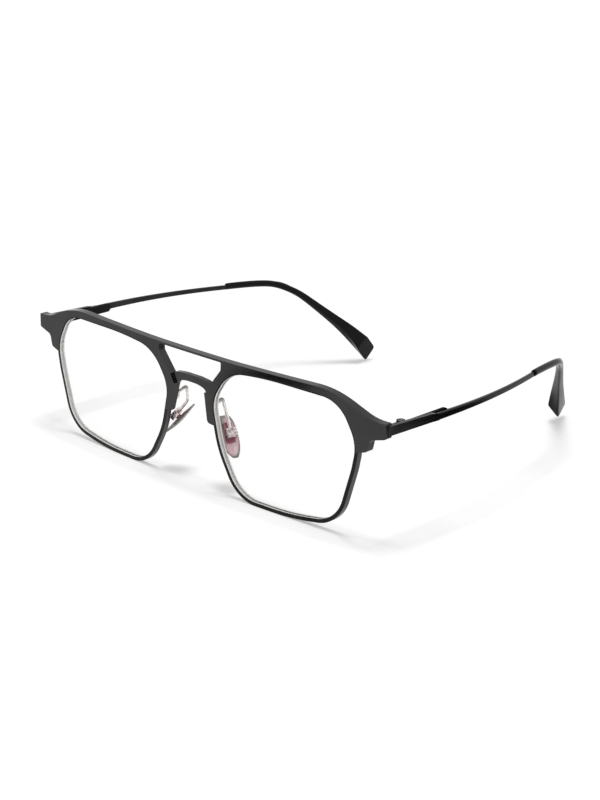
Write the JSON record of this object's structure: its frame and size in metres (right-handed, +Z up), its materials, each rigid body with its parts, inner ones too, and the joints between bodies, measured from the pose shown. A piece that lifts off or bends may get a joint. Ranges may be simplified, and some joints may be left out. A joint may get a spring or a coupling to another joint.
{
  "type": "double bridge eyeglasses",
  "caption": "Double bridge eyeglasses: milled metal brow plate over full thin rims, clear lenses, sprung wire nose pads and slim folding temples with flared tips.",
  "frame": {"origin": "middle of the open frame's footprint box, at the height of the lowest points of the rims and tips", "axes": "+X towards the wearer's left, +Y back along the open temples, +Z up with the frame standing on its rims and tips"},
  "size_m": [0.1476, 0.1266, 0.0418],
  "materials": {
    "front_metal": "matte gunmetal coating",
    "rim_metal": "satin black coating",
    "temple_metal": "matte dark grey coating",
    "bare_metal": "satin silver",
    "screw_metal": "polished",
    "lens_clear": "clear, polished",
    "pad_clear": "soft clear, slightly pink",
    "pad_core": "clear pink",
    "tip_plastic": "polished black"
  },
  "bodies": {
    "front": {"brow_front": "front_metal", "eyewire_left": "rim_metal", "eyewire_right": "rim_metal", "lens_left": "lens_clear", "lens_right": "lens_clear", "rim_lock_left": "bare_metal", "rim_lock_right": "bare_metal", "rim_lock_screw_left": "screw_metal", "rim_lock_screw_right": "screw_metal", "pad_arm_left": "bare_metal", "pad_arm_right": "bare_metal", "pad_box_left": "bare_metal", "pad_box_right": "bare_metal", "pad_screw_left": "screw_metal", "pad_screw_right": "screw_metal", "hinge_front_leaf_left": "temple_metal", "hinge_front_leaf_right": "temple_metal", "hinge_screw_left": "screw_metal", "hinge_screw_right": "screw_metal"},
    "temple_left": {"temple_bar_left": "temple_metal", "temple_hinge_leaf_left": "temple_metal", "temple_tip_left": "tip_plastic"},
    "temple_right": {"temple_bar_right": "temple_metal", "temple_hinge_leaf_right": "temple_metal", "temple_tip_right": "tip_plastic"},
    "pad_left": {"nose_pad_left": "pad_clear", "pad_insert_left": "pad_core"},
    "pad_right": {"nose_pad_right": "pad_clear", "pad_insert_right": "pad_core"}
  },
  "joints": [
    {"name": "temple_fold_left", "type": "hinge", "parent": "front", "child": "temple_left", "pos_m": [0.0711, -0.05069, 0.0333], "axis": [0, 0, 1], "range_deg": [0, 78]},
    {"name": "temple_fold_right", "type": "hinge", "parent": "front", "child": "temple_right", "pos_m": [-0.0711, -0.05069, 0.0333], "axis": [0, 0, -1], "range_deg": [0, 73]},
    {"name": "pad_rock_left", "type": "hinge", "parent": "front", "child": "pad_left", "pos_m": [0.01184, -0.05788, 0.01708], "axis": [0.4442, 0.8954, 0.0302], "range_deg": [-8, 8]},
    {"name": "pad_rock_right", "type": "hinge", "parent": "front", "child": "pad_right", "pos_m": [-0.01184, -0.05788, 0.01708], "axis": [0.4442, -0.8954, -0.0302], "range_deg": [-8, 8]}
  ]
}
